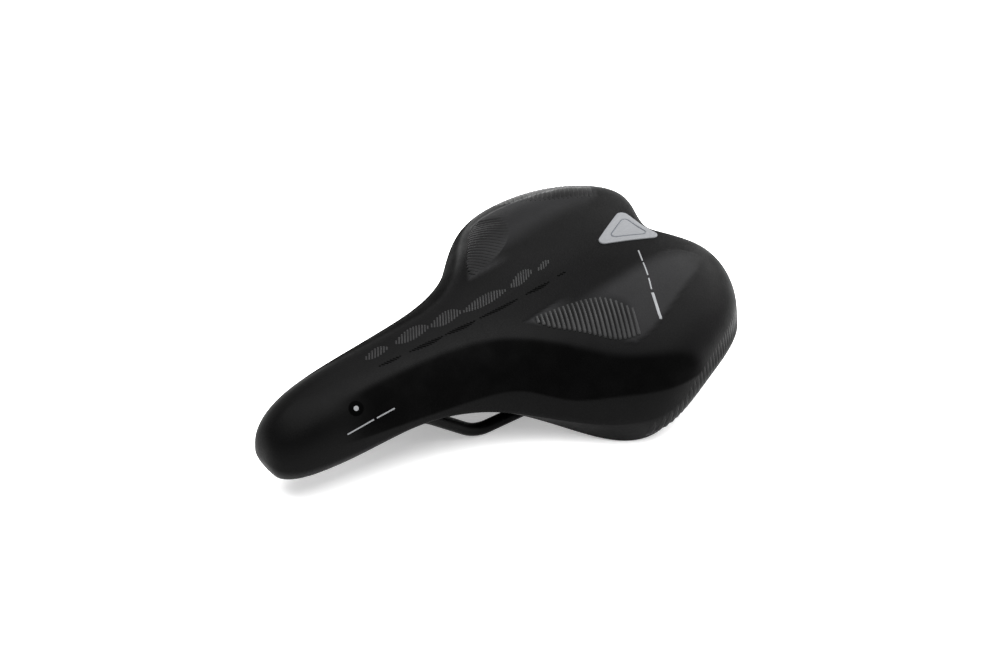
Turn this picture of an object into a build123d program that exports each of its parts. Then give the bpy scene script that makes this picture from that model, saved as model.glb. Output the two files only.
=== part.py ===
from build123d import *

import math
import os

import numpy as np

# Comfort bicycle saddle on a one-piece round-wire rail.
# Millimetres, +X towards the nose, +Y to the rider's left, +Z up. The origin is the centre of the
# seatpost clamp: midway between the two rails, midway along their level run, at the height of their axes.

# ---- driving dimensions ----------------------------------------------------------------------------
COVER_T = 1.4            # moulded skin
PRINT_T = 0.4            # printed foil marks
BADGE_T = 0.9            # tail badge
BASE_T = 3.0             # plastic base shell
RIM_GAP = 1.0            # the foam wraps the base's rim by this much
RIB_T = 2.4              # ribs under the base
RIB_DEPTH = 5.0
RAIL_R = 3.5             # standard 7 mm round rail
RAIL_Y = 22.0            # rails are 44 mm apart at the clamp
SLEEVE_T = 1.5           # sleeve round each rear rail end
SOCKET_T = 2.5           # wall of the carrier's sockets
INSERT_T = 12.0          # depth of the memory foam inserts
SCREW_R = 2.5            # M5 screws

# Half outline seen from above, nose tip first, tail cleft last: x, y, height of the side wall's widest
# point there, how far below that its bottom edge lies, and how far in the wall has turned by then.
OUTLINE = [
    (151, 0, 23, 13, 5.5), (146, 13, 22, 10, 5.5), (131, 20.5, 21, 8, 5.5), (100, 25.5, 25, 7.5, 5.5),
    (70, 30.5, 27, 4.5, 5), (42, 37.5, 24, 4, 5.5), (16, 49, 17, 5, 7.5), (-6, 66, 13, 12, 9),
    (-24, 81.5, 15, 18, 9.5), (-45, 90, 23, 20, 9.5), (-72, 85.5, 32, 17.5, 9.5),
    (-96, 73, 35, 15.5, 9.5), (-111, 54, 35, 9, 9), (-113, 34, 34, 5, 8), (-107, 15, 34, 4, 7),
    (-103, 0, 34, 4, 7),
]
# Inner edge of the turned-in hem, nose first: x, y.
HEM_EDGE = [
    (136, 0), (130, 8), (119, 13.8), (100, 15.6), (70, 20), (42, 25), (16, 35), (-6, 50), (-24, 65),
    (-45, 73), (-70, 71), (-88, 60), (-98, 44), (-98, 30), (-93, 13), (-90, 0),
]

# Stations along the length, each x and value, for the crowned top and the arched underside.
HALF_WIDTH = [(158, 22), (131, 22), (100, 26), (70, 31), (42, 38), (16, 49), (-6, 66), (-24, 82),
              (-45, 90), (-72, 87), (-96, 80), (-122, 76)]
TOP_LINE = [(158, 37), (145, 43), (133, 47.5), (116, 51), (80, 54), (27, 56.5), (-8, 59),
            (-44, 63.5), (-79, 66.5), (-97, 65.5), (-122, 62)]
LOBE_RISE = [(158, 0), (30, 0), (-20, 2), (-60, 4.5), (-122, 5)]
ARCH_LINE = [(158, 12), (148, 12.5), (140, 19), (130, 30), (120, 33), (100, 34), (50, 34), (0, 34.5),
             (-40, 36.5), (-80, 37), (-104, 36), (-122, 35.5)]
ARCH_WIDTH = [(158, 12), (131, 14), (110, 16), (70, 22), (42, 27), (16, 36), (-6, 52), (-24, 66),
              (-45, 74), (-72, 72), (-96, 66), (-122, 60)]
ARCH_FOOT = [(158, 12), (150, 12.4), (131, 15), (100, 19), (72, 25), (43, 24), (16, 14), (-8, 2.5),
             (-24, -1), (-45, 4), (-60, 12), (-75, 17), (-96, 22), (-110, 26), (-122, 28)]
SHOULDER_REACH = [(158, 3.2), (131, 3.6), (100, 4.4), (42, 5.5), (-45, 6.5), (-80, 5), (-100, 2.8),
                  (-122, 2.6)]
SHOULDER_DROP = 20.0     # how far the shoulder has rolled down where it meets the side wall
CROWN = 2.0              # further drop from the middle of the seat to its sides
ARCH_POWER = 4
LOBE_SPAN = 72.0         # each sitting lobe's swell ends this far out

LEAN = 3.5               # the side wall leans in by this much
LEAN_RISE = 28.0         # this far above its widest point
LEVELS = (-14, -5, 2, 8, 14, 20, 26, 34, 44, 56, 74)

# Lengthwise stations and crosswise shares of the half width that carry the height surfaces.
STATIONS = (156, 150, 144, 137, 128, 114, 96, 76, 56, 36, 18, 2, -14, -30, -46, -62, -76, -86, -93, -99,
            -105, -112, -122)
HALF_ACROSS = np.array([0, 0.1, 0.22, 0.36, 0.5, 0.62, 0.72, 0.8, 0.86, 0.92, 0.98, 1.05, 1.2])
ACROSS = np.concatenate([-HALF_ACROSS[:0:-1], HALF_ACROSS])
SPLINE_SHARES = (ACROSS + 1.2) / 2.4

# Corners of one half of the rail's centreline, rear end first, and the bend radius at each.
RAIL_CORNERS = [(-94, 36, 24), (-40, RAIL_Y, 0), (36, RAIL_Y, 0), (66, 17, 21.5), (94, 8, 21.5),
                (122, 8, 21.5)]
BEND_RADII = [0, 26, 24, 24, 25, 7.99]
CARRIER_X = -78.0
CARRIER_SCREWS = [(CARRIER_X, y) for y in (-53, -15, 15, 53)]
CLIP_BOTTOM = 15.0
CLIP_SCREWS = [(103, 0), (113, 0)]
STAPLE_COUNT = 44


# ---- surfaces --------------------------------------------------------------------------------------
def along(table, x):
    """Value at x on the natural cubic spline through a table of stations."""
    xs, ys = (np.array(column, float) for column in zip(*sorted(table)))
    gap = np.diff(xs)
    count = len(xs)
    matrix, right = np.eye(count), np.zeros(count)
    for i in range(1, count - 1):
        matrix[i, i - 1:i + 2] = gap[i - 1], 2 * (gap[i - 1] + gap[i]), gap[i]
        right[i] = 6 * ((ys[i + 1] - ys[i]) / gap[i] - (ys[i] - ys[i - 1]) / gap[i - 1])
    bend = np.linalg.solve(matrix, right)
    i = int(np.clip(np.searchsorted(xs, x) - 1, 0, count - 2))
    a, b = xs[i + 1] - x, x - xs[i]
    cubic = (bend[i] * a**3 + bend[i + 1] * b**3) / (6 * gap[i])
    start = (ys[i] / gap[i] - bend[i] * gap[i] / 6) * a
    end = (ys[i + 1] / gap[i] - bend[i + 1] * gap[i] / 6) * b
    return float(cubic + start + end)


def mirrored(half):
    """A closed outline from its nose-to-tail half."""
    return np.vstack([half, half[-2:0:-1] * np.where(np.arange(half.shape[1]) == 1, -1, 1)])


RIM = Edge.make_spline([(x, y, 0) for x, y, *wall in mirrored(np.array(OUTLINE, float))], periodic=True)
RIM_SHARES = np.linspace(0, 1, 900, endpoint=False)
RIM_POINTS = np.array([tuple(RIM @ share)[:2] for share in RIM_SHARES])
RIM_OUTWARD = np.array([((RIM % share).Y, -(RIM % share).X) for share in RIM_SHARES])


def depth_inside(x, y):
    """Distance in from the outline seen from above, negative outside it."""
    away = RIM_POINTS - (x, y)
    nearest = np.argmin((away**2).sum(axis=1))
    return float(away[nearest] @ RIM_OUTWARD[nearest])


def top_height(x, y, grow=0.0):
    """Height of the crowned seat surface with its rolled shoulder, thickened by grow."""
    share = abs(y) / along(HALF_WIDTH, x)
    swell = math.sin(math.pi * min(abs(y) / LOBE_SPAN, 1)) ** 2
    reach = along(SHOULDER_REACH, x)
    drop = 2 * SHOULDER_DROP / (1 + math.exp((depth_inside(x, y) + grow) / reach))
    return along(TOP_LINE, x) + along(LOBE_RISE, x) * swell - CROWN * share**2 - drop + grow


def arch_height(x, y, grow=0.0):
    """Height of the arched underside, thickened by grow; past the arch it runs out to a flat rim."""
    fall = (abs(y) / (along(ARCH_WIDTH, x) + grow)) ** ARCH_POWER
    fall /= (1 + fall**6) ** (1 / 6)
    middle = along(ARCH_LINE, x - grow)
    return middle + grow - (middle - along(ARCH_FOOT, x)) * fall


def space(height, far, offset=0.0):
    """Everything between a height surface, raised by offset, and the level far above or below it."""
    sections = []
    for x in STATIONS:
        ys = ACROSS * along(HALF_WIDTH, x)
        points = [(x, y, height(x, y) + offset) for y in ys]
        curve = Edge.make_spline(points, parameters=list(SPLINE_SHARES))
        near, out = (x, ys[0], far), (x, ys[-1], far)
        sides = [Edge.make_line(points[-1], out), Edge.make_line(out, near), Edge.make_line(near, points[0])]
        sections.append(Wire([curve] + sides))
    return Solid.make_loft(sections)


def below_top(grow=0.0):
    return space(lambda x, y: top_height(x, y, grow), -90)


def above_top(offset):
    return space(top_height, 130, offset)


def above_arch(grow=0.0, offset=0.0):
    return space(lambda x, y: arch_height(x, y, grow), 130, offset)


def below_arch(grow=0.0, offset=0.0):
    return space(lambda x, y: arch_height(x, y, grow), -90, offset)


def wall_inset(z, widest, depth, tuck):
    """How far the side wall stands inside the outline at height z."""
    rise = z - widest
    if rise < 0:
        return tuck * min(-rise / depth, 1.1) ** 1.6
    return LEAN * (rise / LEAN_RISE) ** 2


def flank(extra):
    """Solid inside the side walls, taken in by extra."""
    full = mirrored(np.array(OUTLINE, float))
    tangent = (np.roll(full, -1, 0) - np.roll(full, 1, 0))[:, :2]
    inward = np.stack([-tangent[:, 1], tangent[:, 0]], 1)
    inward /= np.linalg.norm(inward, axis=1)[:, None]
    wires = []
    for z in LEVELS:
        inset = np.array([wall_inset(z, *wall) + extra for wall in full[:, 2:]])
        points = full[:, :2] + inward * inset[:, None]
        wires.append(Wire([Edge.make_spline([(x, y, z) for x, y in points], periodic=True)]))
    return Solid.make_loft(wires)


def body(extra, lid, floor):
    """The saddle's form taken in by extra, between a lid and a floor."""
    return (flank(extra) & lid & floor).solid()


def prism(points, low, high):
    """Upright solid with a smooth closed outline."""
    edge = Edge.make_spline([(x, y, low) for x, y in points], periodic=True)
    return Solid.extrude(Face(Wire([edge])), Vector(0, 0, high - low))


def column(x, y, radius, low, high):
    """Upright cylinder between two heights."""
    return Pos(x, y, low) * Cylinder(radius, high - low, align=(Align.CENTER, Align.CENTER, Align.MIN))


def block(x0, x1, y0, y1, z0, z1, radius):
    """Upright block with rounded corners in plan."""
    plan = Pos((x0 + x1) / 2, (y0 + y1) / 2, z0) * RectangleRounded(x1 - x0, y1 - y0, radius)
    return extrude(plan, z1 - z0)


def group(shapes):
    """Several separate solids as one compound."""
    return Compound([solid for shape in shapes for solid in shape.solids()])


# ---- seat ------------------------------------------------------------------------------------------
OUTER = body(0, below_top(), above_arch(-COVER_T))
INNER = body(COVER_T, below_top(-COVER_T), above_arch())
UNDER = below_arch()
DECK = below_arch(BASE_T)
UNDER_SPACE = prism(mirrored(np.array(HEM_EDGE, float)), -30, 60)


def make_cover():
    """Skin over the top and sides, turned in under the base."""
    return OUTER - INNER - (UNDER_SPACE & DECK)


def ribs():
    """Stiffening ribs hanging from the base between the hem edges."""
    bars = [Pos(x, 0, 30) * Box(RIB_T, 180, 60) for x in (-52, -24, 4, 32, 60)]
    bars += [Pos(6, y, 30) * Box(160, RIB_T, 60) for y in (-13, 13)]
    bars += [Pos(-22, y, 30) * Box(84, RIB_T, 60) for y in (-40, 40)]
    zone = (UNDER_SPACE & below_arch(offset=0.5) & above_arch(offset=-RIB_DEPTH)).solid()
    return zone & bars[0].fuse(*bars[1:])


def seats():
    """Every screw's place, with the height of the underside there."""
    return [(x, y, arch_height(x, y)) for x, y in CARRIER_SCREWS + CLIP_SCREWS]


def make_base_shell():
    """Plastic shell with ribs below and a boss round each threaded insert."""
    bosses = [column(x, y, 6, z + 1.5, z + 9.5) for x, y, z in seats()]
    shell = (flank(COVER_T + RIM_GAP) & DECK & above_arch()).fuse(ribs(), *bosses)
    return shell.cut(*[column(x, y, 3.6, z - 2, z + 8) for x, y, z in seats()])


def make_memory_foam(side):
    """Soft lens set into the pad under one sitting lobe."""
    angles = np.radians(np.arange(0, 360, 45))
    points = [(-54 + 36 * math.cos(a), side * (44 + 25 * math.sin(a))) for a in angles]
    return INNER & above_top(-COVER_T - INSERT_T) & prism(points, 0, 90)


def make_foam_pad(inserts):
    """Main pad between the base and the skin, wrapped round the base's rim."""
    bosses = [column(x, y, 6, z + 1.5, z + 9.5) for x, y, z in seats()]
    return (INNER - (flank(COVER_T + RIM_GAP) & DECK)).cut(*bosses, *inserts)


# ---- rail and its fixings --------------------------------------------------------------------------
def rail_corners():
    """The whole centreline's corners and bend radii, from one rear end round the nose to the other."""
    right = [Vector(x, -y, z) for x, y, z in reversed(RAIL_CORNERS)]
    return [Vector(*p) for p in RAIL_CORNERS] + right, BEND_RADII + BEND_RADII[::-1]


def rail_path():
    """Centreline with every corner replaced by its bend."""
    corners, radii = rail_corners()
    edges = []
    start = corners[0]
    for before, corner, after, radius in zip(corners, corners[1:], corners[2:], radii[1:]):
        back = (before - corner).normalized()
        ahead = (after - corner).normalized()
        half = math.radians(back.get_angle(ahead)) / 2
        reach = radius / math.tan(half)
        first = corner + back * reach
        last = corner + ahead * reach
        middle = corner + (back + ahead).normalized() * (radius / math.sin(half) - radius)
        edges.append(Edge.make_line(start, first))
        edges.append(Edge.make_three_point_arc(first, middle, last))
        start = last
    edges.append(Edge.make_line(start, corners[-1]))
    return Wire(edges)


def rod(path, radius):
    """Round bar along a path."""
    start = Plane(origin=path @ 0, z_dir=path % 0)
    return sweep(start * Circle(radius), path=path)


def rear_end(side, inner, outer, radius):
    """Round bar round a rear rail end, from inner mm inside the end to outer mm past it."""
    end = Vector(RAIL_CORNERS[0][0], side * RAIL_CORNERS[0][1], RAIL_CORNERS[0][2])
    bend = Vector(RAIL_CORNERS[1][0], side * RAIL_CORNERS[1][1], RAIL_CORNERS[1][2])
    out = (end - bend).normalized()
    place = Plane(origin=end - out * inner, z_dir=out)
    return extrude(place * Circle(radius), inner + outer)


def make_sleeve(side, rail):
    """Plastic sleeve that caps one rear rail end."""
    return rear_end(side, 20, 2, RAIL_R + SLEEVE_T) - rail


def make_rear_carrier():
    """Bridge under the tail with a socket for each rail end."""
    plate = block(CARRIER_X - 9, CARRIER_X + 9, -62, 62, 0, 60, 6)
    shape = plate & UNDER & above_arch(offset=-4)
    for side in (-1, 1):
        web = block(-90, -70, *sorted((side * 27, side * 41)), 16, 60, 3) & UNDER
        shape = shape + (web & above_arch(offset=-14))
        shape = shape + rear_end(side, 18, 4.5, RAIL_R + SLEEVE_T + SOCKET_T)
    for x, y in CARRIER_SCREWS:
        shape = shape + (column(x, y, 7, arch_height(x, y) - 5, 60) & UNDER)
    for x, y in CARRIER_SCREWS:
        shape = shape - column(x, y, SCREW_R + 0.25, 0, 60)
    for side in (-1, 1):
        shape = shape - rear_end(side, 24, 2, RAIL_R + SLEEVE_T)
    return shape


def make_nose_clip(rail):
    """Block that clamps the rail's nose loop to the base."""
    shape = block(97.5, 118, -13.5, 13.5, CLIP_BOTTOM, 50, 4) & UNDER
    for x, y in CLIP_SCREWS:
        shape = shape - column(x, y, SCREW_R + 0.25, 0, 60)
    return shape - rail


def screw(x, y, seat, top):
    """M5 screw with a button head under its washer and a hexagon socket."""
    head = column(x, y, 4.6, seat - 4, seat - 1)
    head = head.fillet(1.4, head.edges().sort_by(Axis.Z)[:1])
    socket = extrude(Pos(x, y, seat - 4) * RegularPolygon(1.8, 6), 2)
    return head + column(x, y, SCREW_R, seat - 1, top) - socket


def washer(x, y, seat):
    return column(x, y, 5.5, seat - 1, seat) - column(x, y, SCREW_R + 0.25, seat - 1, seat)


def threaded_insert(x, y, z):
    return column(x, y, 3.6, z + 0.5, z + 8) - column(x, y, SCREW_R, z, z + 8.5)


# ---- trim ------------------------------------------------------------------------------------------
def staple(x, y, turn):
    """Wire staple through the hem into the base, crown along the edge."""
    z = arch_height(x, y, -COVER_T)
    crown = Pos(0, 0, -0.35) * Box(8, 1, 0.7)
    legs = [Pos(side * 3.6, 0, 1.2) * Box(0.8, 0.8, 2.6) for side in (-1, 1)]
    return Pos(x, y, z) * Rot(0, 0, turn) * (crown + legs[0] + legs[1])


def make_hem_staples():
    """Staples evenly spaced round the hem, a few millimetres outside its edge."""
    edge = Edge.make_spline([(x, y, 0) for x, y in mirrored(np.array(HEM_EDGE, float))], periodic=True)
    staples = []
    for i in range(STAPLE_COUNT):
        share = (i + 0.5) / STAPLE_COUNT
        point = edge @ share
        heading = edge % share
        outward = Vector(heading.Y, -heading.X, 0).normalized()
        place = point + outward * 1.5
        staples.append(staple(place.X, place.Y, math.degrees(math.atan2(heading.Y, heading.X))))
    return group(staples)


def lying_on_top(region, thickness):
    """The part of a region that lies on the seat surface, as a thin layer."""
    return region & above_top(0) & below_top(thickness)


def make_tail_badge():
    """Rounded triangle lying in the valley between the lobes, point forwards."""
    plan = Polygon((-62, 0), (-93, 16), (-93, -16), align=None)
    return lying_on_top(extrude(fillet(plan.vertices(), 4), 90), BADGE_T)


def make_nose_dot():
    """Small round mark high on the left nose flank."""
    place = Plane(origin=(107, 15, 41), z_dir=(0.1, 0.75, 0.66))
    return lying_on_top(extrude(place * Circle(2.6), 14), PRINT_T)


def make_flank_stripe():
    """Slanting line low on the left nose flank."""
    points = [(114.5, 33.8), (88, 39.5), (88, 41.7), (114.5, 36)]
    return lying_on_top(extrude(Plane.XZ * Polygon(*points, align=None), 60), PRINT_T)


def make_lobe_stripe():
    """Line running out across the left lobe, with a bolder bar at its outer end."""
    start, turn, end = Vector(-72.3, 21), Vector(-53.5, 56.2), Vector(-46.9, 67.1)
    plan = trace(Line(start, turn), 1.0) + trace(Line(turn, end), 3.0)
    return lying_on_top(extrude(plan, 90), PRINT_T)


# ---- build -----------------------------------------------------------------------------------------
def main():
    cover = make_cover()
    rail = rod(rail_path(), RAIL_R)
    memory_left = make_memory_foam(1)
    memory_right = make_memory_foam(-1)
    places = [(x, y, arch_height(x, y)) for x, y in CARRIER_SCREWS]
    nodes = {
        "cover": cover,
        "foam_pad": make_foam_pad([memory_left, memory_right]),
        "memory_foam_left": memory_left,
        "memory_foam_right": memory_right,
        "base_shell": make_base_shell(),
        "rail": rail,
        "rail_sleeve_left": make_sleeve(1, rail),
        "rail_sleeve_right": make_sleeve(-1, rail),
        "rear_carrier": make_rear_carrier(),
        "rear_carrier_screws": group([screw(x, y, z - 5, z + 8) for x, y, z in places]),
        "rear_carrier_washers": group([washer(x, y, z - 5) for x, y, z in places]),
        "nose_clip": make_nose_clip(rail),
        "nose_clip_screws": group([screw(x, y, CLIP_BOTTOM, 40) for x, y in CLIP_SCREWS]),
        "nose_clip_washers": group([washer(x, y, CLIP_BOTTOM) for x, y in CLIP_SCREWS]),
        "threaded_inserts": group([threaded_insert(*place) for place in seats()]),
        "hem_staples": make_hem_staples(),
        "tail_badge": make_tail_badge(),
        "nose_dot": make_nose_dot(),
        "flank_stripe": make_flank_stripe(),
        "lobe_stripe": make_lobe_stripe(),
    }
    os.makedirs("parts", exist_ok=True)
    for name, shape in nodes.items():
        export_step(shape, f"parts/{name}.step")
        print(name, round(shape.volume), len(shape.solids()))


main()
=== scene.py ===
import math

import bmesh
import bpy
import numpy as np
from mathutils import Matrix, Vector
from mathutils.bvhtree import BVHTree


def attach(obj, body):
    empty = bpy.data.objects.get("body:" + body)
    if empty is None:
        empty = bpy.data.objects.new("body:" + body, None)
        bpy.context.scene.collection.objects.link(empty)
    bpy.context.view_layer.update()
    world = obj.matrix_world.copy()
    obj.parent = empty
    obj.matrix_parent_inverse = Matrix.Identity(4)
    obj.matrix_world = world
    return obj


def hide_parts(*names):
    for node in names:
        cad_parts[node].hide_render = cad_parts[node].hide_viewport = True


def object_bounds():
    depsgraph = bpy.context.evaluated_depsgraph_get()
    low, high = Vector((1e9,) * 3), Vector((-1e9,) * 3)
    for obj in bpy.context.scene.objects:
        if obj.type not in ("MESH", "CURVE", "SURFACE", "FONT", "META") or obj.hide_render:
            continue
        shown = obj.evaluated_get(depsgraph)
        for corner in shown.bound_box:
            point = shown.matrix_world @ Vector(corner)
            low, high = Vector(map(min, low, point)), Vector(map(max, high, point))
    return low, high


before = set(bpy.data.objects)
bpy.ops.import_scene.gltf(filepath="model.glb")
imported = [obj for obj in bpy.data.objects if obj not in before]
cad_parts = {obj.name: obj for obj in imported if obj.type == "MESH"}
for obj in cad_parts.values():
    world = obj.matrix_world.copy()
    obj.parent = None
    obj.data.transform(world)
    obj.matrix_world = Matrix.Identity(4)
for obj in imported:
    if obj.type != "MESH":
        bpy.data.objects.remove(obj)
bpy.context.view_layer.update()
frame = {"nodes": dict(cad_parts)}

MM = 0.001
SKIN_T = 1.4
UP = np.array([0, 0, 1.0])

# ---- the cover's form, in millimetres in the row frame ---------------------------------------------
# Stations along the left half of the outline, nose tip first, tail cleft last.
EDGE_X = [151, 150.4, 117.7, 78, 37.7, -1.6, -37.3, -68.9, -103.3, -114, -102.4]
EDGE_Y = [0, 6.8, 23.1, 29, 38.7, 61.7, 89.6, 86.3, 67.4, 44.2, 0]
FOOT_X = [128, 125.5, 113.8, 78, 37.8, -1.7, -37.5, -62.4, -80.9, -87, -88.3]
WIDEST_Z = [23.4, 22.3, 22.7, 27.2, 23.2, 12.3, 19.9, 32.1, 35.5, 33.9, 34.4]
BOTTOM_Z = [10.3, 11.1, 14.4, 22.1, 20.4, 3.0, -0.3, 14.4, 21.9, 30.5, 32.4]
TUCK = [5.5, 5.5, 5.5, 5.5, 6.5, 8.7, 9.6, 9.6, 9.6, 8.7, 8.7]
TOP_X = [-104, -72, -32, 8, 48, 88, 128, 153]
TOP_Z = [65.5, 66.6, 61.6, 57.3, 55.4, 53.5, 48.9, 41.5]
NOSE_POWER = 2.7
TAIL_POWER = 3.35
LOBE_RISE = 4.6
LOBE_Y = 42.5
LOBE_WIDTH = 24.0

# The base shell's arched underside, which the hem lies against, and the hem's cut edge.
ARCH_LINE = [(158, 12), (148, 12.5), (140, 19), (130, 30), (120, 33), (100, 34), (50, 34), (0, 34.5),
             (-40, 36.5), (-80, 37), (-104, 36), (-122, 35.5)]
ARCH_WIDTH = [(158, 12), (131, 14), (110, 16), (70, 22), (42, 27), (16, 36), (-6, 52), (-24, 66),
              (-45, 74), (-72, 72), (-96, 66), (-122, 60)]
ARCH_FOOT = [(158, 12), (150, 12.4), (131, 15), (100, 19), (72, 25), (43, 24), (16, 14), (-8, 2.5),
             (-24, -1), (-45, 4), (-60, 12), (-75, 17), (-96, 22), (-110, 26), (-122, 28)]
ARCH_POWER = 4
HEM_EDGE = [(136, 0), (130, 8), (119, 13.8), (100, 15.6), (70, 20), (42, 25), (16, 35), (-6, 50),
            (-24, 65), (-45, 73), (-70, 71), (-88, 60), (-98, 44), (-98, 30), (-93, 13), (-90, 0)]


def spline(knots, values, level_ends=False):
    """Cubic spline through values at knots, natural or with level ends."""
    t, v = np.array(knots, float), np.array(values, float)
    gap = np.diff(t)
    count = len(t)
    matrix, right = np.zeros((count, count)), np.zeros(count)
    for i in range(1, count - 1):
        matrix[i, i - 1:i + 2] = gap[i - 1], 2 * (gap[i - 1] + gap[i]), gap[i]
        right[i] = 6 * ((v[i + 1] - v[i]) / gap[i] - (v[i] - v[i - 1]) / gap[i - 1])
    if level_ends:
        matrix[0, :2] = 2 * gap[0], gap[0]
        right[0] = 6 * (v[1] - v[0]) / gap[0]
        matrix[-1, -2:] = gap[-1], 2 * gap[-1]
        right[-1] = -6 * (v[-1] - v[-2]) / gap[-1]
    else:
        matrix[0, 0] = matrix[-1, -1] = 1
    bend = np.linalg.solve(matrix, right)

    def at(x):
        x = np.asarray(x, float)
        i = np.clip(np.searchsorted(t, x) - 1, 0, count - 2)
        a, b = t[i + 1] - x, x - t[i]
        cubic = (bend[i] * a**3 + bend[i + 1] * b**3) / (6 * gap[i])
        start = (v[i] / gap[i] - bend[i] * gap[i] / 6) * a
        return cubic + start + (v[i + 1] / gap[i] - bend[i + 1] * gap[i] / 6) * b
    return at


def table(pairs):
    """Spline through (knot, value) pairs in any order."""
    ordered = sorted(pairs)
    return spline([p[0] for p in ordered], [p[1] for p in ordered])


def along_points(points, shares):
    """Points on a polyline at shares of its length."""
    points = np.asarray(points, float)
    run = np.concatenate([[0], np.cumsum(np.linalg.norm(np.diff(points, axis=0), axis=1))])
    return np.stack([np.interp(np.asarray(shares) * run[-1], run, c) for c in points.T], -1)


def smooth(low, high, x):
    """Eased step from 0 at low to 1 at high, which may be the smaller."""
    s = np.clip((np.asarray(x, float) - low) / (high - low), 0, 1)
    return s * s * (3 - 2 * s)


chords = np.hypot(np.diff(EDGE_X), np.diff(EDGE_Y))
SHARES = np.concatenate([[0], np.cumsum(chords)]) / chords.sum()
edge_x, edge_y = spline(SHARES, EDGE_X, True), spline(SHARES, EDGE_Y)
foot_x = spline(SHARES, FOOT_X, True)
widest_z, bottom_z = spline(SHARES, WIDEST_Z, True), spline(SHARES, BOTTOM_Z, True)
tuck = spline(SHARES, TUCK, True)
top_z = spline(TOP_X, TOP_Z)
arch_line, arch_width, arch_foot = table(ARCH_LINE), table(ARCH_WIDTH), table(ARCH_FOOT)


def arch_height(x, y):
    """Height of the base shell's underside."""
    fall = (np.abs(y) / arch_width(x)) ** ARCH_POWER
    fall = fall / (1 + fall**6) ** (1 / 6)
    return arch_line(x) - (arch_line(x) - arch_foot(x)) * fall


# ---- embossed panels over the sitting lobes --------------------------------------------------------
PANEL = [(5, 24.5), (-2, 34), (-9, 42.5), (-18, 54.5), (-26, 64), (-31, 69), (-37, 70), (-44, 69),
         (-58, 64.5), (-86, 53), (-97, 44), (-90, 34), (-70, 26), (-45, 24.5), (-18, 23.5)]
PANEL_RISE = 0.8
PANEL_EDGE = 1.0


def panel_depth(x, y):
    """Distance inside the panel's outline, negative outside it."""
    y = np.abs(y)
    nearest = np.full(np.shape(x), 1e9)
    inside = np.zeros(np.shape(x), bool)
    for (x0, y0), (x1, y1) in zip(PANEL, PANEL[1:] + PANEL[:1]):
        dx, dy = x1 - x0, y1 - y0
        s = np.clip(((x - x0) * dx + (y - y0) * dy) / (dx * dx + dy * dy), 0, 1)
        nearest = np.minimum(nearest, np.hypot(x - x0 - s * dx, y - y0 - s * dy))
        crosses = (y0 > y) != (y1 > y)
        inside ^= crosses & (x < x0 + (y - y0) * dx / (dy if dy else 1e-9))
    return np.where(inside, nearest, -nearest)


# The hatch on each panel: bars along HATCH_TREND, counted across it from HATCH_FIRST backwards, from
# their outer ends (HATCH_LOW) in to HATCH_HIGH, both by place across the bars.
HATCH_TREND = (0.43, 0.90)
HATCH_FIRST = -12.5
HATCH_PITCH = 2.4
HATCH_COUNT = 21
HATCH_REAR, HATCH_FRONT = -62, -9
HATCH_LOW = spline([HATCH_REAR, -50, -40.6, -26.7, -17.2, -9.8], [47, 46.6, 42.7, 35.9, 31, 25])
HATCH_HIGH = spline([HATCH_REAR, -50, -36.4, -25.1, -10.5], [29, 17, 13.5, 15.8, 21.5])
HATCH_FADE = 0.45


def hatch_share(x, y):
    """One on the sunk ground of the hatch, zero off it, fading out at the bars' inner ends."""
    a, b = HATCH_TREND
    across, along = b * x - a * np.abs(y), a * x + b * np.abs(y)
    limited = np.clip(across, HATCH_REAR, HATCH_FRONT)
    low, high = HATCH_LOW(limited), HATCH_HIGH(limited)
    inside = smooth(low + 0.6, low - 0.6, along) * smooth(high, high + HATCH_FADE * (low - high), along)
    return inside * smooth(HATCH_REAR, -56, across) * smooth(-10, -12, across)


def panel_share(x, y):
    """One on the panel, zero off it, fading out towards the middle of the tail."""
    outer = np.maximum(smooth(27, 40, np.abs(y) + 0.25 * np.clip(x + 20, 0, 30)), smooth(-26, -6, x))
    return smooth(-PANEL_EDGE, PANEL_EDGE, panel_depth(x, y)) * outer * smooth(-100, -78, x)


# The band down the flank, darkened as painted shade and roughened matt: how far from the middle it
# starts, and the height where it ends.
BAND_REAR, BAND_FRONT = -60, 108
BAND_START = spline([BAND_REAR, -40, -22, -8, 5, 20, 40, 60, 110],
                    [88, 80.5, 68.5, 52.5, 38, 26, 18.5, 16, 14.5])
BAND_END = spline([BAND_REAR, -15, 0, 20, 42, 60, 110], [34, 29.5, 26, 32.2, 33, 31.6, 30])
BAND_SOFT, BAND_SHARP = 2.5, 0.8


def matt_shade_band_share(x, y, z):
    """One on the flank's band, darkened as painted shade and roughened matt, fading out towards the nose
    and the tail.
    """
    limited = np.clip(x, BAND_REAR, BAND_FRONT)
    upper = smooth(-BAND_SOFT, BAND_SOFT, np.abs(y) - BAND_START(limited))
    lower = smooth(-BAND_SHARP, BAND_SHARP, z - BAND_END(limited))
    return upper * lower * smooth(-78, -50, x) * smooth(122, 96, x)


# ---- the cover's surface ---------------------------------------------------------------------------
def top_point(t, q):
    """On the seat, from the centreline (q 0) to the widest level (q 1), at t along the outline."""
    x = foot_x(t) + q * (edge_x(t) - foot_x(t))
    y = q * edge_y(t)
    rear = smooth(-52, 58, -x)
    power = NOSE_POWER + (TAIL_POWER - NOSE_POWER) * rear
    swell = np.exp(-((y - LOBE_Y) / LOBE_WIDTH) ** 2) - math.exp(-(LOBE_Y / LOBE_WIDTH) ** 2)
    height = top_z(x) + rear * LOBE_RISE * swell
    z = widest_z(t) + (height - widest_z(t)) * np.clip(1 - q**power, 0, 1) ** (1 / power)
    return x, y, z + PANEL_RISE * panel_share(x, y) * (1 - hatch_share(x, y))


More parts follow.
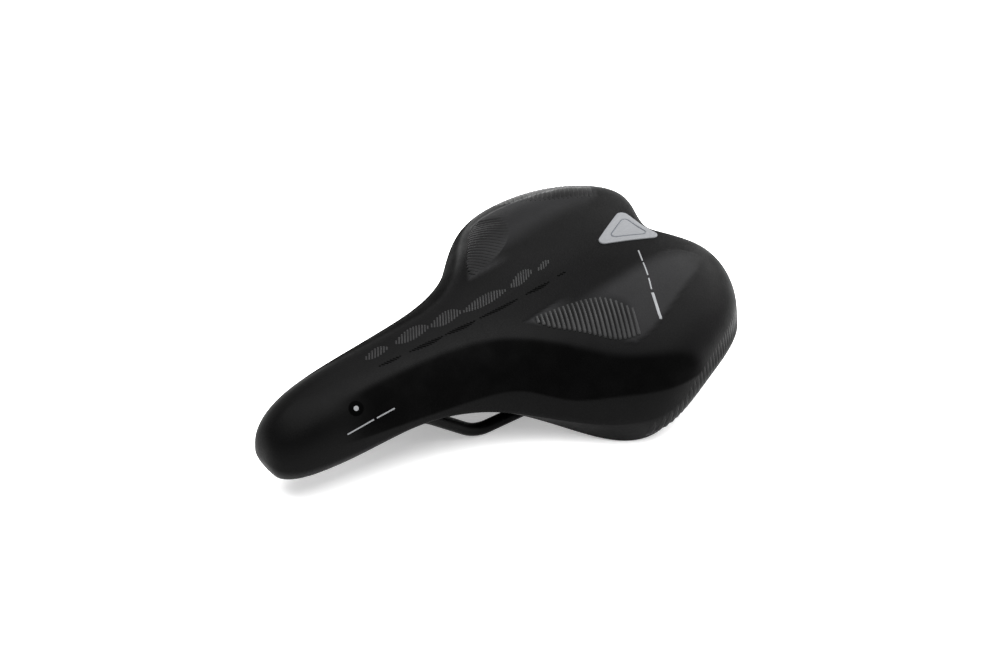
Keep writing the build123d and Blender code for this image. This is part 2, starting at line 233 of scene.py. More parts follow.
def wall_point(t, v):
    """On the side wall, from its widest level (v 0) down to the bottom edge (v 1)."""
    x = edge_x(t)
    bow = 1.7 - 0.6 * smooth(-45, -15, x) * smooth(95, 55, x)
    share = tuck(t) * v**bow / np.hypot(x - foot_x(t), edge_y(t))
    z = widest_z(t) - (widest_z(t) - bottom_z(t)) * v
    return inward(t, share) + (z,)


def inward(t, share):
    """Plan position at a share of the way from the outline to the foot of its ray."""
    return edge_x(t) - (edge_x(t) - foot_x(t)) * share, edge_y(t) * (1 - share)


def inside_hem(x, y):
    """Whether plan positions lie inside the hem's cut edge."""
    ring = np.array(HEM_EDGE + [(x, -y) for x, y in HEM_EDGE[-2:0:-1]], float)
    found = np.zeros(np.shape(x), bool)
    for (x0, y0), (x1, y1) in zip(ring, np.roll(ring, -1, 0)):
        crosses = (y0 > y) != (y1 > y)
        found ^= crosses & (x < x0 + (y - y0) * (x1 - x0) / (y1 - y0 if y1 != y0 else 1e-9))
    return found


def hem_share(t):
    """Share of the way in at which each ray meets the hem's cut edge."""
    shares = np.linspace(0.02, 0.97, 900)
    x, y = inward(t[None, :], shares[:, None])
    first = shares[np.argmax(inside_hem(x, y), axis=0)]
    return np.convolve(np.pad(first, 4, mode="edge"), np.ones(9) / 9, "valid")


def under_point(t, start, cut, h):
    """On the hem, from the bottom edge (h 0) to its cut edge (h 1), with faint gathers."""
    x, y = inward(t, start + (cut - start) * h)
    gathers = 0.16 * np.sin(t * 410) * np.sin(math.pi * np.clip(h, 0, 1)) * (1 + 0.6 * np.sin(t * 57))
    lying = arch_height(x, y) - SKIN_T - gathers
    z = bottom_z(t) + (lying - bottom_z(t)) * smooth(0, 0.45, h)
    return x, y, z


def closing_point(t, cut, k):
    """On the hidden face inside the base shell, from the cut edge (k 0) to the middle (k 1)."""
    x, y = inward(t, cut + (1 - cut) * np.clip(k * 1.25 - 0.25, 0, 1))
    return x, y, arch_height(x, y) - SKIN_T + (SKIN_T + 1.5) * smooth(0, 0.25, k)


def packed_steps(count, spots):
    """count + 1 values from 0 to 1, closer together round each (place, width, extra)."""
    s = np.linspace(0, 1, 4001)
    density = 1 + sum(extra * np.exp(-((s - place) / width) ** 2) for place, width, extra in spots)
    total = np.concatenate([[0], np.cumsum((density[1:] + density[:-1]) / 2)])
    return np.interp(np.linspace(0, 1, count + 1), total / total[-1], s)


# ---- meshes ----------------------------------------------------------------------------------------
def new_object(name, points, faces):
    """A smooth-shaded mesh object from points in millimetres."""
    mesh = bpy.data.meshes.new(name)
    mesh.from_pydata((np.asarray(points) * MM).tolist(), [], [list(map(int, f)) for f in faces])
    bm = bmesh.new()
    bm.from_mesh(mesh)
    middle = [v for v in bm.verts if abs(v.co.y) < 1e-7]
    bmesh.ops.remove_doubles(bm, verts=middle, dist=1e-6)
    bmesh.ops.recalc_face_normals(bm, faces=bm.faces)
    bm.to_mesh(mesh)
    bm.free()
    mesh.polygons.foreach_set("use_smooth", [True] * len(mesh.polygons))
    thing = bpy.data.objects.new(name, mesh)
    bpy.context.scene.collection.objects.link(thing)
    return thing


def quads(index):
    """Four-sided faces between the rows and columns of a grid of point numbers."""
    a, b = index[:-1, :-1], index[:-1, 1:]
    c, d = index[1:, 1:], index[1:, :-1]
    return np.stack([a.ravel(), b.ravel(), c.ravel(), d.ravel()], 1)


def make_cover():
    """The padded seat as one closed form: skin, hem and the hidden face against the base."""
    t = packed_steps(430, [(0, 0.05, 1.0), (1, 0.03, 0.6), (0.72, 0.16, 0.5)])
    q = np.sin(packed_steps(72, [(1, 0.3, 0.8)]) * math.pi / 2)
    v = np.linspace(0, 1, 25)[1:]
    h = packed_steps(14, [(0, 0.25, 1.5)])[1:]
    k = np.array([0.09, 0.25, 0.5, 0.75, 1.0])
    start = tuck(t) / np.hypot(edge_x(t) - foot_x(t), edge_y(t))
    cut = hem_share(t)
    rows = [top_point(t, s) for s in q] + [wall_point(t, s) for s in v]
    rows += [under_point(t, start, cut, s) for s in h] + [closing_point(t, cut, s) for s in k]
    grid = np.stack([np.stack(row, -1) for row in rows])
    grid[:, 0, 1] = grid[:, -1, 1] = grid[0, :, 1] = grid[-1, :, 1] = 0
    points = grid.reshape(-1, 3)
    faces = quads(np.arange(len(points)).reshape(grid.shape[:2]))
    both = np.vstack([points, points * (1, -1, 1)])
    return new_object("cover_skin", both, np.vstack([faces, faces[:, ::-1] + len(points)]))


cover = make_cover()
tree = BVHTree.FromPolygons([v.co for v in cover.data.vertices],
                            [p.vertices for p in cover.data.polygons])


def mark(attribute, shares):
    """Stores a share on each point of the cover, for its material to read."""
    layer = cover.data.attributes.new(attribute, "FLOAT", "POINT")
    layer.data.foreach_set("value", shares.astype(np.float32))


# The left hatch's ground stays dark as painted shade in its grooves; the right one has the panel's
# lighter tone.
x, y, z = (np.array([v.co for v in cover.data.vertices]) / MM).T
groove_shade = np.where(y > 0, hatch_share(x, y), 0)
mark("panel", np.where(z > 40, panel_share(x, y) * (1 - groove_shade), 0))
mark("band", np.where(z > 14, matt_shade_band_share(x, y, z), 0))


def over(x, y):
    """Point and normal of the seat surface above a plan position, in millimetres."""
    place, normal, *rest = tree.ray_cast(Vector((x * MM, y * MM, 0.2)), Vector((0, 0, -1)))
    return np.array(place) / MM, np.array(normal)


def near(point):
    """Closest point of the cover to a point, and its normal."""
    place, normal, *rest = tree.find_nearest(Vector(point) * MM)
    return np.array(place) / MM, np.array(normal)


def settled(lines, smoothing=1):
    """Arrays of points and normals, the normals evened out along the line."""
    places, normals = (np.array(column) for column in zip(*lines))
    for _ in range(smoothing):
        padded = np.vstack([normals[:1], normals, normals[-1:]])
        normals = padded[:-2] + 2 * padded[1:-1] + padded[2:]
        normals /= np.linalg.norm(normals, axis=1)[:, None]
    return places, normals


# Cross-sections as (side, rise) pairs: sides in half widths, rises in heights, and a negative rise is
# SINK below the cover.
SINK = 0.35
ROUND_RIDGE = [(-1, -1), (-0.92, 0.3), (-0.6, 0.82), (0, 1), (0.6, 0.82), (0.92, 0.3), (1, -1)]
FLAT_BAR = [(-1, -1), (-1, 0.6), (-0.86, 1), (0.86, 1), (1, 0.6), (1, -1)]
STEP = [(-1.06, -1), (-1.02, 0.02), (-0.4, 0.4), (0.2, 0.78), (0.62, 1), (0.86, 0.9), (0.98, 0.5),
        (1.0, -1)]


def step_profile(side):
    """Cross-section that rises gently and drops steeply on its +1 side, or the other way round."""
    return STEP if side > 0 else [(-a, b) for a, b in STEP]


class Shape:
    """Points and faces of several closed pieces, gathered for one object."""

    def __init__(self):
        self.points, self.faces = [], []

    def ridge(self, places, normals, widths, heights, profile, loop=False):
        """Closed ridge along a line on the cover; widths and heights are one value per point."""
        ahead = np.roll(places, -1, 0) - np.roll(places, 1, 0)
        if not loop:
            ahead[0], ahead[-1] = places[1] - places[0], places[-1] - places[-2]
        across = np.cross(normals, ahead)
        across /= np.linalg.norm(across, axis=1)[:, None]
        side, rise = np.array(profile, float).T
        lift = np.where(rise < 0, -SINK, rise * np.reshape(heights, (-1, 1)))
        out = side * np.reshape(widths, (-1, 1)) / 2
        grid = places[:, None] + across[:, None] * out[..., None] + normals[:, None] * lift[..., None]
        grid = np.concatenate([grid, grid[:, :1]], 1)
        if loop:
            grid = np.concatenate([grid, grid[:1]])
        self.sheet(grid, wrap_rows=loop)

    def sheet(self, grid, wrap_rows):
        """A tube of rings: the last column repeats the first, and so does the last row if wrapped."""
        first = sum(len(p) for p in self.points)
        rows, columns = grid.shape[0] - int(wrap_rows), grid.shape[1] - 1
        index = first + np.arange(rows * columns).reshape(rows, columns)
        index = np.concatenate([index, index[:, :1]], 1)
        if wrap_rows:
            index = np.concatenate([index, index[:1]])
        self.points.append(grid[:rows, :columns].reshape(-1, 3))
        self.faces += quads(index).tolist()
        if not wrap_rows:
            self.faces += [index[0, :-1].tolist(), index[-1, :-1][::-1].tolist()]

    def plate(self, ring, centre, centre_normal, thickness):
        """Closed plate inside a ring on the cover, its top edge slightly rounded."""
        first = sum(len(p) for p in self.points)
        rows = []
        for share, lift in [(1, -SINK), (1, thickness * 0.55), (0.985, thickness * 0.9),
                            (0.96, thickness), (0.8, thickness), (0.5, thickness)]:
            found = [near(p) for p in centre + (ring - centre) * share]
            rows.append(np.array([p + n * lift for p, n in found]))
        grid = np.array(rows)
        count = grid.shape[1]
        index = first + np.arange(grid.shape[0] * count).reshape(grid.shape[:2])
        index = np.concatenate([index, index[:, :1]], 1)
        self.points.append(grid.reshape(-1, 3))
        self.faces += quads(index).tolist()
        ends = first + grid.shape[0] * count
        self.points.append(np.array([centre - centre_normal * SINK, centre + centre_normal * thickness]))
        self.faces += [[ends, index[0, i + 1], index[0, i]] for i in range(count)]
        self.faces += [[ends + 1, index[-1, i], index[-1, i + 1]] for i in range(count)]

    def joined(self, other):
        """This shape with another one's pieces added."""
        first = sum(len(p) for p in self.points)
        self.points += other.points
        self.faces += [[first + i for i in face] for face in other.faces]
        return self

    def made(self, name):
        """The shape as an object."""
        return new_object(name, np.vstack(self.points), self.faces)


# ---- relief and marks ------------------------------------------------------------------------------
# The ribs run down and out along RIB_TREND, numbered backwards by their place across it. RIB_REACH is
# how far inside the outline each begins on the right, RIB_TOP the height where it begins on the left.
RIB_PITCH = 2.5
RIB_RISE = 1.0
RIB_LOW = 0.3
RIB_TREND = np.array([-0.57, 0.82])
RIB_FIRST = 24.0
RIB_COUNT = 31
RIB_OUTLINE = (0.45, 0.93)
RIB_REACH = table([(25, 0.5), (15, 2), (6, 12), (-8, 25), (-28, 39), (-52, 36)])
RIB_TOP = table([(24, 14), (20, 19), (14.3, 24), (10.5, 28), (7.8, 31), (3.2, 34), (-3, 38), (-10.6, 42),
                 (-30, 48), (-50, 52)])
RIB_GAP_Z = 50
RIB_GAP = 6


def crossing(value):
    """Where the rear outline meets the line across the ribs' trend at that value."""
    t = np.linspace(*RIB_OUTLINE, 3000)
    across = RIB_TREND[1] * edge_x(t) - RIB_TREND[0] * edge_y(t)
    return t[np.argmin(np.abs(across - value))]


def rib_path(side, i):
    """Line of one rib over the seat's shoulder and down the wall, as points in millimetres."""
    value = RIB_FIRST - RIB_PITCH * i
    t = crossing(value)
    edge = np.array([edge_x(t), edge_y(t)])
    reach = float(RIB_REACH(value))
    line = [over(*(edge - RIB_TREND * (0.5 + reach * u**2)))[0] for u in np.linspace(1, 0, 30)]
    deepest = 0.86 - 0.3 * smooth(0, RIB_COUNT, i)
    line += [np.array(wall_point(t, v)) for v in np.linspace(0.04, deepest, 14)]
    path = along_points(line, np.linspace(0, 1, 300))
    if side > 0:
        path = path[path[:, 2] < RIB_TOP(value)]
    path = along_points(path, np.linspace(0, 1, 52))
    path[:, 1] *= side
    return path


def shoulder_ribs(side):
    """Slanted steps on the rear shoulder of one lobe: on the wall, and on the right also on the seat."""
    shape = Shape()
    for i in range(RIB_COUNT):
        path = rib_path(side, i)
        places, normals = settled([near(p) for p in path], 4)
        run = np.linalg.norm(np.diff(path, axis=0), axis=1).sum()
        s = np.linspace(0, run, len(places))
        rise = RIB_LOW + (RIB_RISE - RIB_LOW) * smooth(46, 36, places[:, 2])
        gap = 0 if side > 0 else np.exp(-((places[:, 2] - RIB_GAP_Z) / RIB_GAP) ** 2)
        rise = rise * (1 - gap) * smooth(RIB_COUNT, RIB_COUNT - 7, i)
        rise = rise * smooth(0, min(12, 0.5 * run), s) * smooth(0, 5, run - s)
        ends = 0.25 + 0.75 * smooth(0, 4, s) * smooth(0, 4, run - s)
        shape.ridge(places, normals, RIB_PITCH * ends, rise - 0.2 * gap, step_profile(side))
    return shape.made(f"shoulder_ribs_{'left' if side > 0 else 'right'}")


def lobe_hatch(side):
    """Bars flush with one lobe panel over its sunk ground: tapering on the left, close on the right."""
    shape = Shape()
    a, b = HATCH_TREND
    for i in range(HATCH_COUNT):
        across = HATCH_FIRST - HATCH_PITCH * i
        along = np.linspace(HATCH_LOW(across) - 0.4, HATCH_HIGH(across), 44)
        x, y = b * across + a * along, -a * across + b * along
        places, normals = settled([over(*place) for place in zip(x, side * y)], 2)
        u = np.linspace(0, 1, len(along))
        fade = 1 - 0.5 * smooth(14, 20, i)
        flush = PANEL_RISE * fade * smooth(-0.03, 0.03, u) * (1 - smooth(0.35, 1, u))
        width = 2.15 - 1.3 * u if side > 0 else np.full(len(u), 2.36)
        width = width * (0.6 + 0.4 * smooth(-0.01, 0.04, u))
        profile = ROUND_RIDGE if side > 0 else FLAT_BAR
        shape.ridge(places, normals, width, flush - 0.22 * smooth(0.45, 1, u), profile)
    return shape.made(f"lobe_hatch_{'left' if side > 0 else 'right'}")


# Groups of bars down the middle of the seat: front end, rear end, longest bar.
BAR_GROUPS = [(87, 74, 8.5), (68.5, 48, 12), (46.2, 29, 12), (25.7, -1.2, 10), (-6, -19.6, 11),
              (-26, -33, 6)]
BAR_PITCH = 1.8
BAR_TREND = np.array([-0.57, -0.82])
BAR_WIDTH = 0.85
BAR_T = 0.14
SHORTEST_BAR = 0.9
LEFT_BAR_SHARE = 0.3


def bar_places():
    """Place along the seat, length and inset of each bar, swelling and dying away in each group."""
    found = []
    for front, rear, longest in BAR_GROUPS:
        count = int(round((front - rear) / BAR_PITCH)) + 1
        for i in range(count):
            wave = math.sin(math.pi * (i + 0.75) / (count + 0.5)) ** 0.8
            found.append((front - i * BAR_PITCH, longest * wave, 0.38 * longest * (1 - wave)))
    return found


def centre_bars(side, name):
    """Bars on one side of the centreline: printed on the right; on the left short, set out a little, and
    painted near-black as shade.
    """
    shape = Shape()
    for x, length, inset in bar_places():
        start = np.array([x, -0.4 - max(0, -x) * 0.13])
        if side > 0:
            start, length, inset = np.array([x - 3.2, 5.4]), LEFT_BAR_SHARE * length, 0.25 * inset
        if length < SHORTEST_BAR:
            continue
        run = inset + np.linspace(0, length, 10)
        trend = BAR_TREND * (1, -side)
        places, normals = settled([over(*(start + trend * r)) for r in run])
        shape.ridge(places, normals, np.full(10, BAR_WIDTH), np.full(10, BAR_T), FLAT_BAR)
    return shape.made(name)


def stripe(corners, width, rise, dashes):
    """Flat printed line through corners on the cover, in dashes given as shares of its length."""
    shape = Shape()
    for start, end in dashes:
        points = along_points(corners, np.linspace(start, end, 24))
        places, normals = settled([near(p) for p in points], 2)
        shape.ridge(places, normals, np.full(24, width), np.full(24, rise), FLAT_BAR)
    return shape


def rounded_ring(corners, radius, count):
    """Outline of a polygon with its corners rounded, as plan positions."""
    points = []
    total = len(corners)
    for i, corner in enumerate(corners):
        corner = np.array(corner, float)
        back = np.array(corners[i - 1], float) - corner
        ahead = np.array(corners[(i + 1) % total], float) - corner
        back, ahead = back / np.linalg.norm(back), ahead / np.linalg.norm(ahead)
        half = math.acos(np.clip(back @ ahead, -1, 1)) / 2
        centre = corner + (back + ahead) / np.linalg.norm(back + ahead) * radius / math.sin(half)
        first = corner + back * radius / math.tan(half) - centre
        last = corner + ahead * radius / math.tan(half) - centre
        for u in np.linspace(0, 1, 14):
            arm = first * (1 - u) + last * u
            points.append(centre + arm / np.linalg.norm(arm) * radius)
    return along_points(np.vstack([points, points[:1]]), np.arange(count) / count)


BADGE_T = 0.7
BADGE_LINE = 0.9
BADGE_LINE_RISE = 0.16


def make_badge():
    """Rounded triangular plate in the valley between the lobes, with a plain inlaid border line."""
    corners = [(-60.5, 0), (-93.5, 17.8), (-93.5, -17.8)]
    ring = np.array([over(x, y)[0] for x, y in rounded_ring(corners, 3.6, 96)])
    centre, normal = over(-83, 0)
    plate = Shape()
    plate.plate(ring, centre, normal, BADGE_T)
    inset = rounded_ring([(-70.5, 0), (-90, 10.6), (-90, -10.6)], 2.4, 84)
    lines = [over(x, y) for x, y in inset]
    places, normals = (np.array(column) for column in zip(*lines))
    line = Shape()
    line.ridge(places + normals * (BADGE_T - 0.05), normals, np.full(84, BADGE_LINE),
               np.full(84, BADGE_LINE_RISE), FLAT_BAR, loop=True)
    return plate.made("badge_plate"), line.made("badge_inlay")


def round_button(name, point, radius, rise):
    """Low domed disc lying on the cover."""
    centre, normal = near(point)
    side = np.cross(normal, UP)
    side /= np.linalg.norm(side)
    up = np.cross(side, normal)
    turns = np.linspace(0, 2 * math.pi, 40, endpoint=False)
    ring = np.array([centre + radius * (side * math.cos(a) + up * math.sin(a)) for a in turns])
    shape = Shape()
    shape.plate(ring, centre, normal, rise)
    return shape.made(name)


ribs = [shoulder_ribs(side) for side in (1, -1)]
hatch = [lobe_hatch(side) for side in (1, -1)]
bars = centre_bars(-1, "centre_bars_right")
# The left bars are painted shade beside the bar print.
shade_strokes = centre_bars(1, "centre_bars_left_painted_shade")
badge, badge_inlay = make_badge()
DOT_PLACE = (107, 19.3, 45.6)
dot_rim = round_button("nose_dot_rim", DOT_PLACE, 3.9, 0.12)
dot = round_button("nose_dot_disc", DOT_PLACE, 1.3, 0.3)
FLANK_LINE = [(114.9, 22.6, 35.1), (101.5, 24, 38.2), (88.2, 25.5, 40.8)]
LOBE_LINE = [(-73.6, 20.6, 68.3), (-64.8, 36.2, 68.5), (-56, 51.7, 66.5)]
LOBE_BOLD_LINE = [(-55.2, 53.2, 66.1), (-49, 67.2, 59.7)]
THIN, THIN_RISE = 0.75, 0.14
BOLD, BOLD_RISE = 1.5, 0.16
flank_line = stripe(FLANK_LINE, THIN, THIN_RISE, [(0, 0.56), (0.62, 1)]).made("flank_line")
lobe_thin = stripe(LOBE_LINE, THIN, THIN_RISE, [(0, 0.34), (0.4, 0.72), (0.78, 1)])
lobe_bold = stripe(LOBE_BOLD_LINE, BOLD, BOLD_RISE, [(0.03, 1)])
lobe_line = lobe_thin.joined(lobe_bold).made("lobe_line")


# ---- materials -------------------------------------------------------------------------------------
def finish(name, colour, rough, metal=0.0, tint=0.25, tint_scale=60, spread=0.08, spread_scale=140,
           grain=None, fine=None, specular=0.5, stretch=(1, 1, 1)):
    """Node material in object space: colour varies by a share tint, roughness by spread.

    grain and fine are (scale, depth in metres) of two bump layers.
    """
    mat = bpy.data.materials.new(name)
    mat.use_nodes = True
    nodes, links = mat.node_tree.nodes, mat.node_tree.links
    shader = nodes["Principled BSDF"]
    shader.inputs["Metallic"].default_value = metal
    shader.inputs["Specular IOR Level"].default_value = specular
    place = nodes.new("ShaderNodeTexCoord")
    scale = nodes.new("ShaderNodeMapping")
    scale.inputs["Scale"].default_value = stretch
    links.new(place.outputs["Object"], scale.inputs["Vector"])

    def noise(size, detail):
        node = nodes.new("ShaderNodeTexNoise")
        node.inputs["Scale"].default_value = size
        node.inputs["Detail"].default_value = detail
        links.new(scale.outputs["Vector"], node.inputs["Vector"])
        return node

    def ranged(source, low, high):
        node = nodes.new("ShaderNodeMapRange")
        node.inputs["From Min"].default_value = 0.3
        node.inputs["From Max"].default_value = 0.7
        node.inputs["To Min"].default_value = low
        node.inputs["To Max"].default_value = high
        links.new(source.outputs[0], node.inputs["Value"])
        return node

    shade = ranged(noise(tint_scale, 4), 1 - tint, 1 + tint)
    mix = nodes.new("ShaderNodeMix")
    mix.data_type = "RGBA"
    mix.blend_type = "MULTIPLY"
    mix.inputs["Factor"].default_value = 1
    mix.inputs["A"].default_value = (*colour, 1)
    links.new(shade.outputs["Result"], mix.inputs["B"])
    links.new(mix.outputs["Result"], shader.inputs["Base Color"])
    links.new(ranged(noise(spread_scale, 5), rough - spread, rough + spread).outputs["Result"],
              shader.inputs["Roughness"])
    last = None
    for layer, kind in ((grain, "cells"), (fine, "noise")):
        if layer is None:
            continue
        if kind == "cells":
            source = nodes.new("ShaderNodeTexVoronoi")
            source.feature = "SMOOTH_F1"
            source.inputs["Scale"].default_value = layer[0]
            source.inputs["Smoothness"].default_value = 0.4
            warp = noise(layer[0] * 0.4, 2)
            bend = nodes.new("ShaderNodeVectorMath")
            bend.operation = "MULTIPLY_ADD"
            bend.inputs[1].default_value = (2.2 / layer[0],) * 3
            links.new(warp.outputs["Color"], bend.inputs[0])
            links.new(scale.outputs["Vector"], bend.inputs[2])
            links.new(bend.outputs["Vector"], source.inputs["Vector"])
        else:
            source = noise(layer[0], 3)
        bump = nodes.new("ShaderNodeBump")
        bump.inputs["Strength"].default_value = 1
        bump.inputs["Distance"].default_value = layer[1]
        links.new(source.outputs[0], bump.inputs["Height"])
        if last:
            links.new(last.outputs["Normal"], bump.inputs["Normal"])
        last = bump
    if last:
        links.new(last.outputs["Normal"], shader.inputs["Normal"])
    return mat


def lighten(mat, attribute, factor, socket="Base Color"):
    """Multiplies a material's base colour, or another linked input, where a mesh attribute is one."""
    nodes, links = mat.node_tree.nodes, mat.node_tree.links
    shader = nodes["Principled BSDF"]
    before = shader.inputs[socket].links[0].from_socket
    share = nodes.new("ShaderNodeAttribute")
    share.attribute_name = attribute
    level = nodes.new("ShaderNodeMapRange")
    level.inputs["To Min"].default_value = 1
    level.inputs["To Max"].default_value = factor
    product = nodes.new("ShaderNodeVectorMath")
    product.operation = "SCALE"
    links.new(share.outputs["Fac"], level.inputs["Value"])
    links.new(before, product.inputs[0])
    links.new(level.outputs["Result"], product.inputs["Scale"])
    links.new(product.outputs["Vector"], shader.inputs[socket])


skin = finish("skin_satin_black", (0.0012, 0.0012, 0.00125), rough=0.5, spread=0.05, spread_scale=90,
              tint=0.2, tint_scale=45, grain=(1100, 0.00005), fine=(2600, 0.00002), specular=0.04)
# The panel is lighter: partly its own tone, partly painted sheen.
lighten(skin, "panel", 7.5)
# The flank band is darkened here as painted shade, and below made rougher.
lighten(skin, "band", 0.15)
lighten(skin, "band", 1.9, "Roughness")
FINE_SKIN = dict(spread=0.05, tint=0.2, fine=(2600, 0.00002))
# The right hatch bars take the panel's lighter tone, partly its own and partly painted sheen.
panel_tone_sheen_skin = finish("skin_panel_tone_painted_sheen", (0.009, 0.009, 0.0092), rough=0.5, specular=0.04, **FINE_SKIN)
# The ribs are the cover's skin painted lighter as a highlight, the right ones more than the left: lit
# and shaded copies.
rib_highlight_skin_right = finish("skin_ribs_painted_highlight_right", (0.0048, 0.0048, 0.0049), rough=0.42, specular=0.06,
                    **FINE_SKIN)
rib_highlight_skin_left = finish("skin_ribs_painted_highlight_left", (0.0036, 0.0036, 0.0037), rough=0.42, specular=0.06, **FINE_SKIN)
# The left hatch bars are lighter than the panel as a painted highlight on their broad faces.
hatch_highlight_skin = finish("skin_hatch_painted_highlight", (0.019, 0.019, 0.0193), rough=0.42, specular=0.06, **FINE_SKIN)
silver = finish("foil_silver", (0.15, 0.153, 0.158), rough=0.5, metal=0.1, specular=0.15, tint=0.07,
                tint_scale=400, spread=0.06, fine=(3000, 0.00001))
grey_print = finish("print_grey", (0.011, 0.011, 0.0113), rough=0.45, metal=0.1, specular=0.1, tint=0.22,
                    tint_scale=220, spread=0.08, fine=(3000, 0.00001))
# Near-black: the nose dot's printed rim, and painted shade for the left centre bars.
print_and_shade_black = finish("deep_black_print_and_painted_shade", (0.0004, 0.0004, 0.0004), rough=0.6, tint=0.3, spread=0.05,
                    fine=(1800, 0.000008), specular=0.008)
badge_face = finish("badge_brushed_silver", (0.125, 0.128, 0.134), rough=0.55, metal=0.1, specular=0.12,
                    tint=0.06, tint_scale=300, spread=0.07, spread_scale=500, stretch=(1, 6, 1),
                    fine=(1500, 0.00001))
badge_line = finish("badge_line_dark", (0.03, 0.034, 0.042), rough=0.35, tint=0.15, spread=0.05,
                    fine=(2000, 0.00001))
base_plastic = finish("base_nylon_black", (0.005, 0.005, 0.005), rough=0.5, tint=0.2, tint_scale=35,
                      spread=0.09, grain=(700, 0.00003), fine=(2400, 0.00002), specular=0.2)
carrier_plastic = finish("carrier_glass_filled_nylon", (0.007, 0.007, 0.0074), rough=0.58, tint=0.3,
                         tint_scale=420, spread=0.1, fine=(1600, 0.00004), specular=0.25)
sleeve_plastic = finish("sleeve_soft_plastic", (0.014, 0.014, 0.0145), rough=0.45, tint=0.12,
                        spread=0.06, fine=(1300, 0.00002))
rail_paint = finish("rail_black_paint", (0.001, 0.001, 0.00105), rough=0.34, tint=0.15, tint_scale=90,
                    spread=0.07, spread_scale=70, fine=(600, 0.00002), specular=0.05)
screw_steel = finish("screw_zinc_steel", (0.5, 0.5, 0.51), rough=0.32, metal=1, tint=0.15,
                     tint_scale=300, spread=0.1, spread_scale=500, fine=(1400, 0.00001))
washer_steel = finish("washer_bright_steel", (0.58, 0.58, 0.59), rough=0.28, metal=1, tint=0.1,
                      tint_scale=260, spread=0.08, spread_scale=900, fine=(2200, 0.00001))
insert_brass = finish("insert_brass", (0.72, 0.53, 0.24), rough=0.34, metal=1, tint=0.15, tint_scale=400,
                      spread=0.08, fine=(1500, 0.00001))
staple_steel = finish("staple_galvanised", (0.5, 0.5, 0.5), rough=0.4, metal=1, tint=0.25,
                      tint_scale=900, spread=0.1, fine=(1500, 0.00001))


def dress(thing, mat):
    """Gives an object one material."""
    thing.data.materials.clear()
    thing.data.materials.append(mat)


nodes = frame["nodes"]
for name, mat in {
    "base_shell": base_plastic, "rail": rail_paint, "rail_sleeve_left": sleeve_plastic,
    "rail_sleeve_right": sleeve_plastic, "rear_carrier": carrier_plastic, "nose_clip": carrier_plastic,
    "rear_carrier_screws": screw_steel, "nose_clip_screws": screw_steel,
    "rear_carrier_washers": washer_steel, "nose_clip_washers": washer_steel,
    "threaded_inserts": insert_brass, "hem_staples": staple_steel,
}.items():
    dress(nodes[name], mat)

PIECES = [
    (cover, skin, "skin"), (ribs[0], rib_highlight_skin_left, "skin"), (ribs[1], rib_highlight_skin_right, "skin"),
    (hatch[0], hatch_highlight_skin, "skin"), (hatch[1], panel_tone_sheen_skin, "skin"), (bars, grey_print, "silver_print"),
    (shade_strokes, print_and_shade_black, "skin"), (badge, badge_face, "silver_print"),
    (badge_inlay, badge_line, "silver_print"), (dot_rim, print_and_shade_black, "silver_print"),
    (dot, silver, "silver_print"), (flank_line, silver, "silver_print"),
    (lobe_line, silver, "silver_print"),
]
for thing, mat, slot in PIECES:
    dress(thing, mat)
    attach(thing, "root")

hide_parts("cover", "foam_pad", "memory_foam_left", "memory_foam_right")
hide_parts("tail_badge")
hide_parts("nose_dot")
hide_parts("flank_stripe")
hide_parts("lobe_stripe")

# ---- floor, light and camera -----------------------------------------------------------------------
scene = bpy.context.scene
FLOOR_HALF = 6.0
FLOOR_GLOW = 0.35
floor_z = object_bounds()[0].z
corners = [(-FLOOR_HALF, -FLOOR_HALF, floor_z), (FLOOR_HALF, -FLOOR_HALF, floor_z),
           (FLOOR_HALF, FLOOR_HALF, floor_z), (-FLOOR_HALF, FLOOR_HALF, floor_z)]
mesh = bpy.data.meshes.new("floor")
mesh.from_pydata(corners, [], [(0, 1, 2, 3)])
floor = bpy.data.objects.new("floor", mesh)
scene.collection.objects.link(floor)
# A slight glow keeps the shadow on the floor light, as there is none in the photo.
floor_pale = finish("floor_pale", (0.86, 0.86, 0.86), rough=0.9, tint=0.01, tint_scale=3, spread=0.02,
                    specular=0.05)
floor_shader = floor_pale.node_tree.nodes["Principled BSDF"]
floor_shader.inputs["Emission Color"].default_value = (1, 1, 1, 1)
floor_shader.inputs["Emission Strength"].default_value = FLOOR_GLOW
floor.data.materials.append(floor_pale)


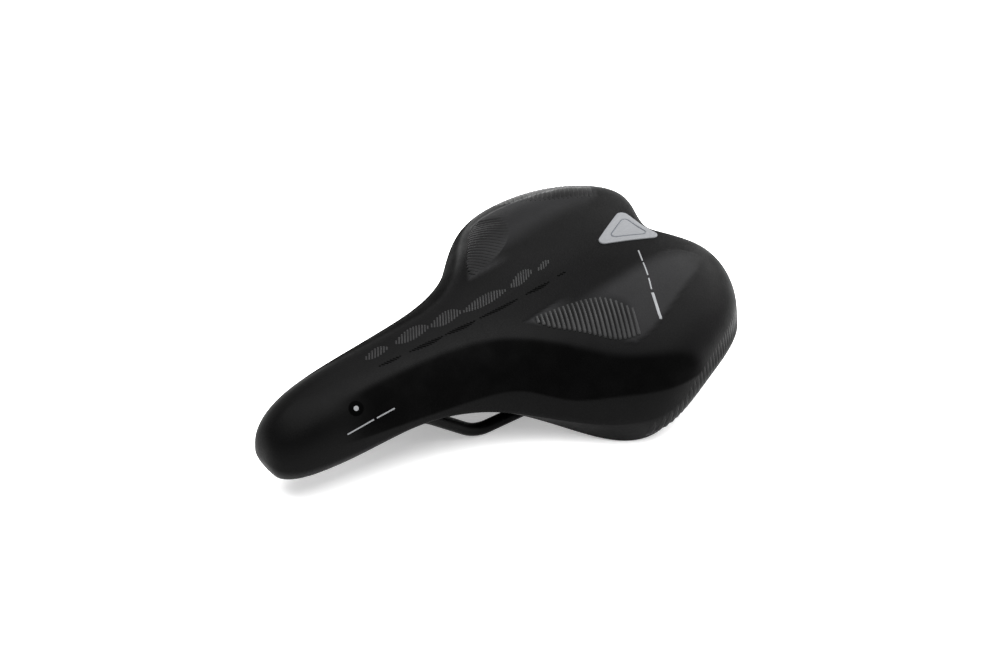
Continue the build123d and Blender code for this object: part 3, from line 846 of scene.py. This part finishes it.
def softbox(name, place, aim, size, power):
    """Rectangular area light at a place, turned to an aim, in metres and watts."""
    light = bpy.data.lights.new(name, "AREA")
    light.shape = "RECTANGLE"
    light.size, light.size_y = size
    light.energy = power
    thing = bpy.data.objects.new(name, light)
    thing.location = place
    thing.rotation_euler = (Vector(aim) - Vector(place)).to_track_quat("-Z", "Y").to_euler()
    scene.collection.objects.link(thing)


softbox("top_box", (0, 0, 1.6), (0, 0, 0), (2.4, 2.4), 95)
softbox("back_box", (-1.5, -0.3, 0.9), (-0.03, 0, 0.04), (1.4, 1.0), 29)
softbox("side_box", (-1.2, 1.0, 0.6), (-0.06, 0.05, 0.04), (0.8, 0.6), 9)

# The world is white to the camera and dimmer as a light.
WORLD_LIGHT = 0.5
world = bpy.data.worlds.new("studio")
scene.world = world
world.use_nodes = True
sky = world.node_tree.nodes["Background"]
sky.inputs["Color"].default_value = (1, 1, 1, 1)
seen = world.node_tree.nodes.new("ShaderNodeLightPath")
level = world.node_tree.nodes.new("ShaderNodeMapRange")
level.inputs["To Min"].default_value = WORLD_LIGHT
level.inputs["To Max"].default_value = 1.0
world.node_tree.links.new(seen.outputs["Is Camera Ray"], level.inputs["Value"])
world.node_tree.links.new(level.outputs["Result"], sky.inputs["Strength"])
scene.view_settings.view_transform = "Standard"

VIEW_AZIMUTH = math.radians(142.51)
VIEW_ELEVATION = math.radians(34.79)
VIEW_DISTANCE = 1.1971
VIEW_TARGET = Vector((0.0026, 0, 0.0362))
LENS = 82.1
SENSOR = 36
camera = bpy.data.objects.new("camera", bpy.data.cameras.new("camera"))
scene.collection.objects.link(camera)
back = Vector((math.sin(VIEW_AZIMUTH) * math.cos(VIEW_ELEVATION),
               -math.cos(VIEW_AZIMUTH) * math.cos(VIEW_ELEVATION), math.sin(VIEW_ELEVATION)))
camera.location = VIEW_TARGET + back * VIEW_DISTANCE
camera.rotation_mode = "QUATERNION"
camera.rotation_quaternion = (-back).to_track_quat("-Z", "Y")
camera.data.sensor_width = SENSOR
camera.data.lens = LENS
camera.data.clip_start, camera.data.clip_end = 0.01, 50
scene.camera = camera
